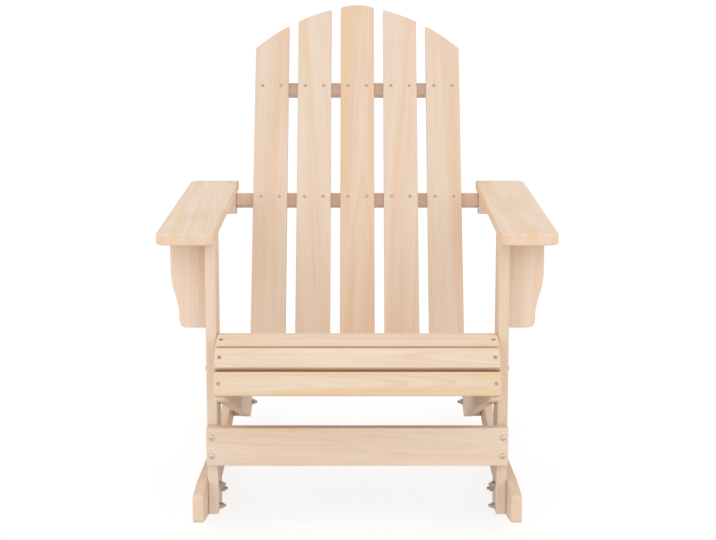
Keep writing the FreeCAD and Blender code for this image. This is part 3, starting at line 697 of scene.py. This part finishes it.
def makeNutTree():
    tree, add, given = newTree("hexagon nut", nutSize)
    prism = tube(add, given["Corner Radius"], 0.0, given["Height"], sides=6)
    lens = ellipsoid(add, add("ShaderNodeMath MULTIPLY", (given["Corner Radius"], given["Lens Width"])),
                     add("ShaderNodeMath MULTIPLY", (given["Height"], given["Lens Height"])),
                     segments=36, rings=24)
    lens = raised(add, lens, add("ShaderNodeMath MULTIPLY", (given["Height"], 0.5)))
    blank = add("GeometryNodeMeshBoolean INTERSECT", {"Mesh 2": [prism, lens]}, {"solver": "EXACT"})
    setAtPlaces(add, given, bored(add, blank, given["Bore"], given["Height"]))
    return tree


# Barrel nut: a pin across the bolt, with a bore for it and a slot to turn it by
barrelSize = {"Radius": 5, "Length": 16, "Bore": 3.1, "Slot Width": 1.6, "Slot Depth": 1.8}


def makeBarrelTree():
    tree, add, given = newTree("barrel nut", barrelSize)
    pin = tube(add, given["Radius"], 0.0, given["Length"], sides=32)
    wide = add("ShaderNodeMath MULTIPLY", (given["Radius"], 3.0))
    deep = add("ShaderNodeMath MULTIPLY", (given["Slot Depth"], 2.0))
    slot = block(add, wide, given["Slot Width"], deep)
    bore = add("GeometryNodeMeshCylinder", {"Vertices": 24, "Radius": given["Bore"], "Depth": wide})
    bore = raised(add, bore, add("ShaderNodeMath MULTIPLY", (given["Length"], 0.5)),
                  turn=(0.0, math.radians(90), 0.0))
    nut = add("GeometryNodeMeshBoolean DIFFERENCE", {"Mesh 1": pin, "Mesh 2": [slot, bore]},
              {"solver": "EXACT"})
    setAtPlaces(add, given, nut)
    return tree


# Dowel: a fluted pin with turned-off ends
dowelSize = {"Radius": 4, "Length": 29, "Turned End": 1.2, "Flute Depth": 0.3, "Flutes": 12.0}


def makeDowelTree():
    tree, add, given = newTree("fluted dowel", dowelSize)
    turned = add("ShaderNodeMath MULTIPLY", (given["Turned End"], 2.0))
    middle = add("ShaderNodeMath SUBTRACT", (given["Length"], turned))
    body = add("GeometryNodeMeshCylinder", {"Vertices": 60, "Radius": given["Radius"],
                                            "Side Segments": 1, "Depth": middle})

    # Draw the points of the flutes in towards the axis
    x, y, z = add("ShaderNodeSeparateXYZ", (add("GeometryNodeInputPosition"),)).outputs
    around = add("ShaderNodeMath MULTIPLY", (add("ShaderNodeMath ARCTAN2", (y, x)), given["Flutes"]))
    wave = add("ShaderNodeMath MAXIMUM", (add("ShaderNodeMath COSINE", (around,)), 0.0))
    dip = add("ShaderNodeMath MULTIPLY", (wave, given["Flute Depth"]))
    keep = add("ShaderNodeMath SUBTRACT", (1.0, add("ShaderNodeMath DIVIDE", (dip, given["Radius"]))))
    x, y = (add("ShaderNodeMath MULTIPLY", (side, keep)) for side in (x, y))
    drawn = add("ShaderNodeCombineXYZ", (x, y, z))
    body = add("GeometryNodeSetPosition", {"Geometry": body, "Position": drawn})
    body = raised(add, body, add("ShaderNodeMath MULTIPLY", (given["Length"], 0.5)))

    small = add("ShaderNodeMath SUBTRACT", (given["Radius"], given["Turned End"]))
    inner = add("ShaderNodeMath SUBTRACT", (given["Radius"], given["Flute Depth"]))
    farStart = add("ShaderNodeMath SUBTRACT", (given["Length"], given["Turned End"]))
    near = taper(add, small, inner, 0.0, given["Turned End"], sides=60)
    far = taper(add, inner, small, farStart, given["Turned End"], sides=60)
    setAtPlaces(add, given, add("GeometryNodeJoinGeometry", ([body, near, far],)))
    return tree


screwTree, boltTree, washerTree = makeScrewTree(), makeBoltTree(), makeWasherTree()
nutTree, barrelTree, dowelTree = makeNutTree(), makeBarrelTree(), makeDowelTree()

fasteners = {
    "seat_screws": (screwTree, screwSteel, slatScrew),
    "back_screws": (screwTree, screwSteel, slatScrew),
    "rail_end_screws": (screwTree, screwSteel, {**slatScrew, "Length": 42}),
    "bracket_screws": (screwTree, screwSteel, {**slatScrew, "Length": 50}),
    "cleat_screws": (screwTree, screwSteel, {**slatScrew, "Length": 32}),
    "rocker_bolts": (boltTree, nutSteel, domedBolt),
    "seat_bolts": (boltTree, nutSteel, domedBolt),
    "tail_bolts": (boltTree, nutSteel, {**domedBolt, "Length": 68.8}),
    "stretcher_bolts": (boltTree, headSteel, {**domedBolt, "Length": 58}),
    "washers": (washerTree, nutSteel, washerSize),
    "nuts": (nutTree, nutSteel, nutSize),
    "barrel_nuts": (barrelTree, nutSteel, barrelSize),
    "arm_dowels": (dowelTree, beechDowel, dowelSize),
}


# The loose parts of a CAD node, each as a list of its points
def looseParts(node):
    shape = bmesh.new()
    shape.from_mesh(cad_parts[node].data)
    bmesh.ops.remove_doubles(shape, verts=shape.verts, dist=1e-6)
    left, parts = set(shape.verts), []
    while left:
        waiting, part = [left.pop()], []
        while waiting:
            vertex = waiting.pop()
            part.append(vertex.co.copy())
            for edge in vertex.link_edges:
                other = edge.other_vert(vertex)
                if other in left:
                    left.remove(other)
                    waiting.append(other)
        parts.append(part)
    shape.free()
    return sorted(parts, key=lambda part: [round(c, 4) for c in sum(part, Vector()) / len(part)])


# Where a fastener starts and which way it points: from its wide end along its length, or for a
# washer or nut from the wood inwards, and for a barrel nut from its slot outwards
def placeOf(node, part):
    centre = sum(part, Vector()) / len(part)
    if node in ("washers", "nuts", "barrel_nuts"):
        way = Vector((-1 if centre.x > 0 else 1, 0, 0))
        if node == "barrel_nuts":
            way = -way
    elif node == "arm_dowels":
        way = upright
    else:
        far = max(part, key=lambda point: (point - centre).length)
        way = (far - centre).normalized()
        for step in range(6):   # towards the axis: the mean of the points at that end
            ends = [point for point in part if (point - centre).dot(way) > 0.98 * (far - centre).dot(way)]
            way = (sum(ends, Vector()) / len(ends) - centre).normalized()
        heights = [(point - centre).dot(way) for point in part]
        widths = [((point - centre) - way * height).length for point, height in zip(part, heights)]
        if heights[widths.index(max(widths))] > 0:
            way = -way
    first = min((point - centre).dot(way) for point in part)
    return centre + way * first, way


def dressFasteners():
    chance = random.Random(5)
    for node, (tree, finish, sizes) in fasteners.items():
        places = [placeOf(node, part) for part in looseParts(node)]
        if tree is boltTree:   # the tree's origin is under the head
            places = [(start + way * sizes["Head Height"] / 1000, way) for start, way in places]
        mesh = bpy.data.meshes.new(node)
        mesh.from_pydata([start for start, way in places], [], [])
        turn = mesh.attributes.new("turn", "FLOAT_VECTOR", "POINT")
        for index, (start, way) in enumerate(places):
            spin = 0.0 if node == "barrel_nuts" else chance.uniform(0, math.tau)
            facing = way.to_track_quat("Z", "Y") @ Euler((0, 0, spin)).to_quaternion()
            turn.data[index].vector = facing.to_euler()
        base = bpy.data.objects.new(node + "_places", mesh)
        bpy.context.scene.collection.objects.link(base)
        modifier = base.modifiers.new(tree.name, "NODES")
        modifier.node_group = tree
        for item in tree.interface.items_tree:
            if item.in_out == "INPUT" and item.name in sizes:
                size = sizes[item.name]
                modifier[item.identifier] = size if item.name in notSizes else size / 1000
            elif item.name == "Finish":
                modifier[item.identifier] = finish
        made = base.evaluated_get(bpy.context.evaluated_depsgraph_get())
        plain = bpy.data.meshes.new_from_object(made)
        piece = bpy.data.objects.new(node + "_made", plain)
        bpy.context.scene.collection.objects.link(piece)
        bpy.data.objects.remove(base)
        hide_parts(node)
        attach(piece, "root")
        print(node, len(places), "places,", len(plain.polygons), "faces")


dressFasteners()
